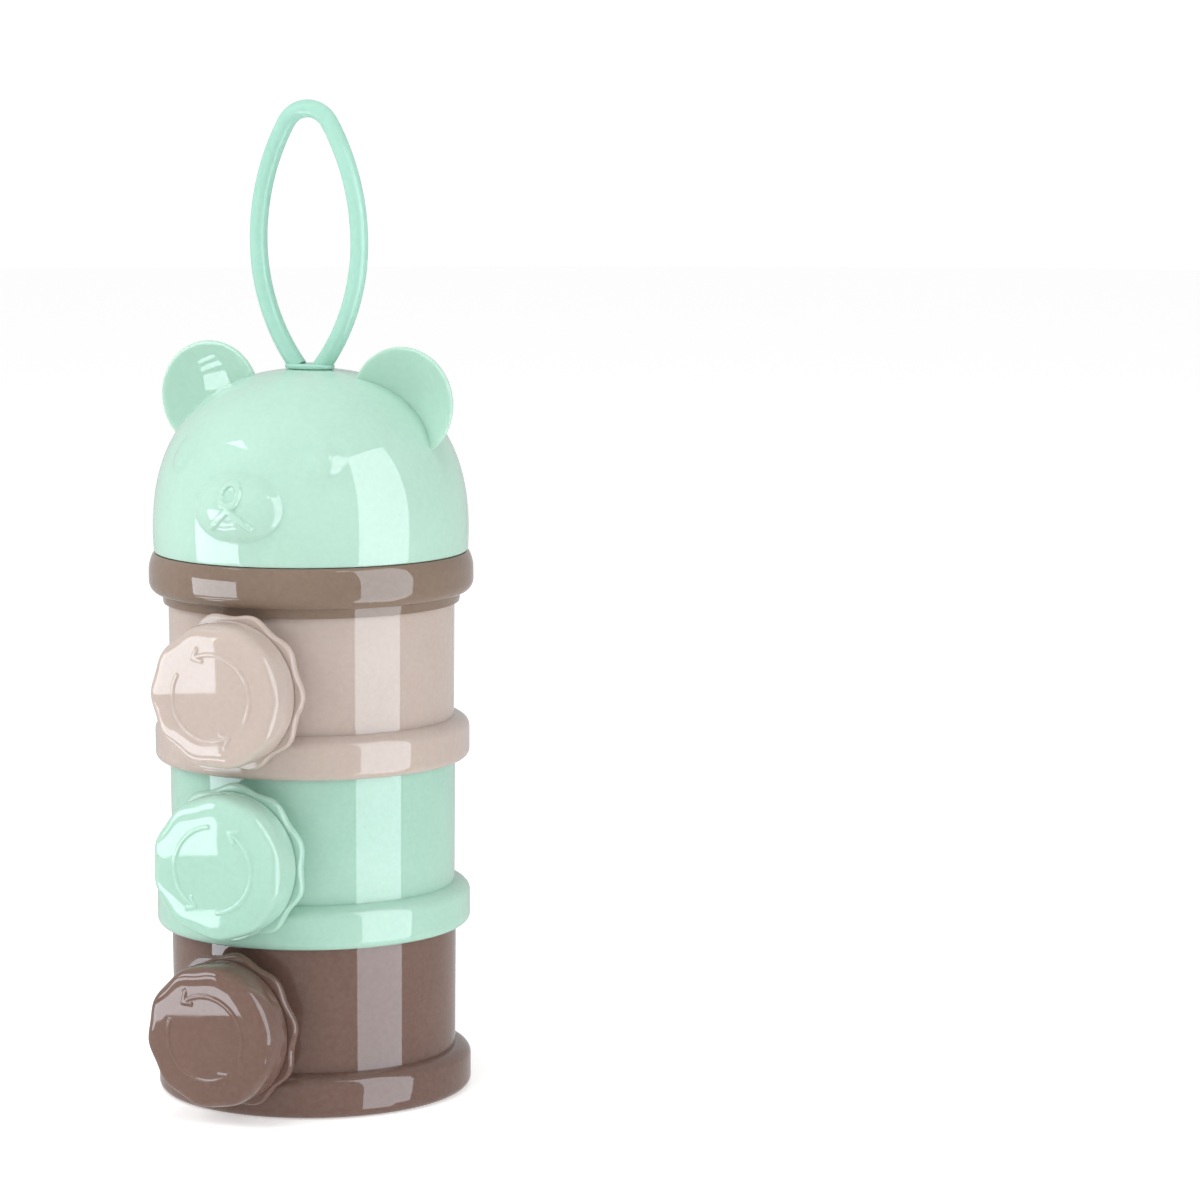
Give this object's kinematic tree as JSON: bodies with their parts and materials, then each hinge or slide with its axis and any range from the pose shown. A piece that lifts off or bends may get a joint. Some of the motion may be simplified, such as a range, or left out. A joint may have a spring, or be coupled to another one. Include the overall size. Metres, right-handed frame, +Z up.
{
  "type": "formula dispenser",
  "caption": "Stacking milk-powder dispenser with screw-together compartments, side pouring spouts, a bear-head storage lid and a soft carrying loop.",
  "frame": {"origin": "on the stack's axis in the plane of the bottom compartment's foot rim", "axes": "+Z up the stack, -Y out through the spouts and the bear's face, +X to the bear's left ear as seen from in front"},
  "size_m": [0.0882, 0.1009, 0.2678],
  "materials": {
    "taupe_plastic": "polished opaque polypropylene",
    "mint_plastic": "polished opaque polypropylene",
    "beige_plastic": "polished opaque polypropylene",
    "mint_silicone": "satin moulded silicone",
    "clear_silicone": "satin translucent silicone"
  },
  "bodies": {
    "base": {"base_compartment": "taupe_plastic"},
    "middle_seal_body": {"middle_seal": "clear_silicone"},
    "middle": {"middle_compartment": "mint_plastic"},
    "upper_seal_body": {"upper_seal": "clear_silicone"},
    "upper": {"upper_compartment": "beige_plastic"},
    "head_seal_body": {"head_seal": "clear_silicone"},
    "head": {"head_base": "taupe_plastic"},
    "lid_seal_body": {"lid_seal": "clear_silicone"},
    "lid": {"bear_head_lid": "mint_plastic"},
    "base_cap_liner_body": {"base_cap_liner": "clear_silicone"},
    "base_cap": {"base_cap_grip_ring": "taupe_plastic", "base_cap_cover": "taupe_plastic"},
    "middle_cap_liner_body": {"middle_cap_liner": "clear_silicone"},
    "middle_cap": {"middle_cap_grip_ring": "mint_plastic", "middle_cap_cover": "mint_plastic"},
    "upper_cap_liner_body": {"upper_cap_liner": "clear_silicone"},
    "upper_cap": {"upper_cap_grip_ring": "beige_plastic", "upper_cap_cover": "beige_plastic"},
    "loop": {"carrying_loop": "mint_silicone", "loop_retainer": "mint_plastic"}
  },
  "joints": [
    {"name": "middle_lift", "type": "slide", "parent": "base", "child": "middle_seal_body", "axis": [0, 0, 1], "range_m": [0, 0.0091]},
    {"name": "middle_unscrew", "type": "hinge", "parent": "middle_seal_body", "child": "middle", "pos_m": [0, 0, 0.0453], "axis": [0, 0, 1], "range_deg": [0, 810]},
    {"name": "upper_lift", "type": "slide", "parent": "middle", "child": "upper_seal_body", "axis": [0, 0, 1], "range_m": [0, 0.0091]},
    {"name": "upper_unscrew", "type": "hinge", "parent": "upper_seal_body", "child": "upper", "pos_m": [0, 0, 0.0906], "axis": [0, 0, 1], "range_deg": [0, 810]},
    {"name": "head_lift", "type": "slide", "parent": "upper", "child": "head_seal_body", "axis": [0, 0, 1], "range_m": [0, 0.0091]},
    {"name": "head_unscrew", "type": "hinge", "parent": "head_seal_body", "child": "head", "pos_m": [0, 0, 0.1359], "axis": [0, 0, 1], "range_deg": [0, 810]},
    {"name": "lid_lift", "type": "slide", "parent": "head", "child": "lid_seal_body", "axis": [0, 0, 1], "range_m": [0, 0.0091]},
    {"name": "lid_unscrew", "type": "hinge", "parent": "lid_seal_body", "child": "lid", "pos_m": [0, 0, 0.1469], "axis": [0, 0, 1], "range_deg": [0, 810]},
    {"name": "base_cap_lift", "type": "slide", "parent": "base", "child": "base_cap_liner_body", "axis": [-0.0523, -0.9986, 0], "range_m": [0, 0.0111]},
    {"name": "base_cap_unscrew", "type": "hinge", "parent": "base_cap_liner_body", "child": "base_cap", "pos_m": [0, 0, 0.02365], "axis": [-0.0523, -0.9986, 0], "range_deg": [0, 990]},
    {"name": "middle_cap_lift", "type": "slide", "parent": "middle", "child": "middle_cap_liner_body", "axis": [0, -1, 0], "range_m": [0, 0.0111]},
    {"name": "middle_cap_unscrew", "type": "hinge", "parent": "middle_cap_liner_body", "child": "middle_cap", "pos_m": [0, 0, 0.06895], "axis": [0, -1, 0], "range_deg": [0, 990]},
    {"name": "upper_cap_lift", "type": "slide", "parent": "upper", "child": "upper_cap_liner_body", "axis": [0, -1, 0], "range_m": [0, 0.0111]},
    {"name": "upper_cap_unscrew", "type": "hinge", "parent": "upper_cap_liner_body", "child": "upper_cap", "pos_m": [0, 0, 0.11425], "axis": [0, -1, 0], "range_deg": [0, 990]},
    {"name": "loop_swivel", "type": "hinge", "parent": "lid", "child": "loop", "pos_m": [0, 0, 0.1958], "axis": [0, 0, 1], "continuous": true}
  ],
  "couplings": [
    {"joint": "middle_lift", "follows": "middle_unscrew", "m_per_rad": 0.00063662},
    {"joint": "upper_lift", "follows": "upper_unscrew", "m_per_rad": 0.00063662},
    {"joint": "head_lift", "follows": "head_unscrew", "m_per_rad": 0.00063662},
    {"joint": "lid_lift", "follows": "lid_unscrew", "m_per_rad": 0.00063662},
    {"joint": "base_cap_lift", "follows": "base_cap_unscrew", "m_per_rad": 0.00063662},
    {"joint": "middle_cap_lift", "follows": "middle_cap_unscrew", "m_per_rad": 0.00063662},
    {"joint": "upper_cap_lift", "follows": "upper_cap_unscrew", "m_per_rad": 0.00063662}
  ]
}
